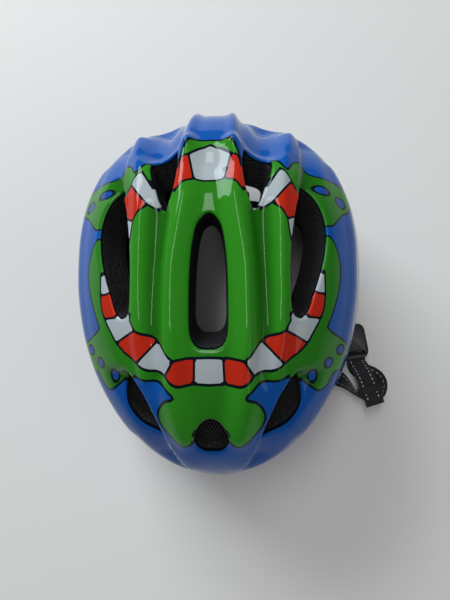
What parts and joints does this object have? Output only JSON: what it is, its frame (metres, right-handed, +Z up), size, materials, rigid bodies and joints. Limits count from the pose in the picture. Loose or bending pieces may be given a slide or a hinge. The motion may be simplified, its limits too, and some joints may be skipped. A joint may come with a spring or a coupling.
{
  "type": "cycling helmet",
  "caption": "Child's vented in-mould cycling helmet: coloured shell, foam liner, insect nets, pads, dial-adjusted head ring and chin webbing with a side-release buckle.",
  "frame": {"origin": "bottom centre of the helmet without its webbing, on the surface that its edge strip rests on", "axes": "+Z up, -Y is the front (brim), +Y the nape, +X the wearer's left"},
  "size_m": [0.2378, 0.2557, 0.1536],
  "materials": {
    "shell": "glossy clear-coated printed polycarbonate, blue with a green top panel, red and white blocks and black outlines",
    "foam": "black expanded polystyrene with fine bead texture",
    "edge_strip": "satin black strip",
    "net": "fine black knitted netting",
    "pad_cloth": "black brushed knit over foam",
    "hook_tape": "black hook tape",
    "ring_plastic": "fine-grained black nylon",
    "rubber": "matt black rubber",
    "steel": "satin steel",
    "webbing": "black polyester webbing with broken white reflective stitching",
    "buckle_plastic": "semi-gloss black acetal"
  },
  "bodies": {
    "root": {"outer_shell": "shell", "eps_liner": "foam", "edge_trim": "edge_strip", "net_front_center": "net", "net_front_left": "net", "net_front_right": "net", "brow_pad": "pad_cloth", "crown_pad_left": "pad_cloth", "crown_pad_right": "pad_cloth", "side_pad_left": "pad_cloth", "side_pad_right": "pad_cloth", "rear_pad_left": "pad_cloth", "rear_pad_right": "pad_cloth", "brow_dot": "hook_tape", "crown_dot_left": "hook_tape", "crown_dot_right": "hook_tape", "side_dot_left": "hook_tape", "side_dot_right": "hook_tape", "rear_dot_left": "hook_tape", "rear_dot_right": "hook_tape", "head_band": "ring_plastic", "arm_pin_left": "steel", "arm_pin_right": "steel", "strap_anchor_front_left": "buckle_plastic", "strap_anchor_front_right": "buckle_plastic", "strap_anchor_rear_left": "buckle_plastic", "strap_anchor_rear_right": "buckle_plastic", "front_strap_left": "webbing", "front_strap_right": "webbing", "rear_strap_left": "webbing", "rear_strap_right": "webbing", "chin_strap_left": "webbing", "chin_strap_right": "webbing", "strap_tail": "webbing", "strap_keeper": "rubber", "strap_divider_left": "buckle_plastic", "strap_divider_right": "buckle_plastic", "buckle_socket": "buckle_plastic", "buckle_clip": "buckle_plastic"},
    "left_arm": {"retention_arm_left": "ring_plastic"},
    "right_arm": {"retention_arm_right": "ring_plastic"},
    "cradle": {"rear_cradle": "ring_plastic", "cradle_pad_left": "pad_cloth", "cradle_pad_right": "pad_cloth", "dial_housing": "ring_plastic", "dial_cover": "ring_plastic"},
    "dial": {"dial_knob": "rubber", "dial_pinion": "ring_plastic", "dial_screw": "steel"},
    "left_lever": {"divider_lever_left": "buckle_plastic"},
    "right_lever": {"divider_lever_right": "buckle_plastic"}
  },
  "joints": [
    {"name": "dial_turn", "type": "hinge", "parent": "cradle", "child": "dial", "pos_m": [0, 0.0975, 0.0175], "axis": [0, -1, 0], "range_deg": [0, 110]},
    {"name": "left_arm_draw", "type": "hinge", "parent": "root", "child": "left_arm", "pos_m": [0.0752, 0.03617, 0.041], "axis": [0, 0, 1], "range_deg": [0, 5.8]},
    {"name": "right_arm_draw", "type": "hinge", "parent": "root", "child": "right_arm", "pos_m": [-0.0752, 0.03617, 0.041], "axis": [0, 0, -1], "range_deg": [0, 5.8]},
    {"name": "cradle_slide", "type": "slide", "parent": "root", "child": "cradle", "axis": [0, -1, 0], "range_m": [0, 0.0063]},
    {"name": "left_lever_turn", "type": "hinge", "parent": "root", "child": "left_lever", "pos_m": [0.07423, -0.04505, 0.0077], "axis": [-0.5446, -0.8387, 0], "range_deg": [0, 50]},
    {"name": "right_lever_turn", "type": "hinge", "parent": "root", "child": "right_lever", "pos_m": [-0.06061, -0.02648, 0.0077], "axis": [0.9962, 0.0872, 0], "range_deg": [0, 50]}
  ],
  "couplings": [
    {"joint": "dial_turn", "follows": "cradle_slide", "rad_per_m": 303.03},
    {"joint": "left_arm_draw", "follows": "cradle_slide", "rad_per_m": 15.758},
    {"joint": "right_arm_draw", "follows": "cradle_slide", "rad_per_m": 15.758}
  ]
}
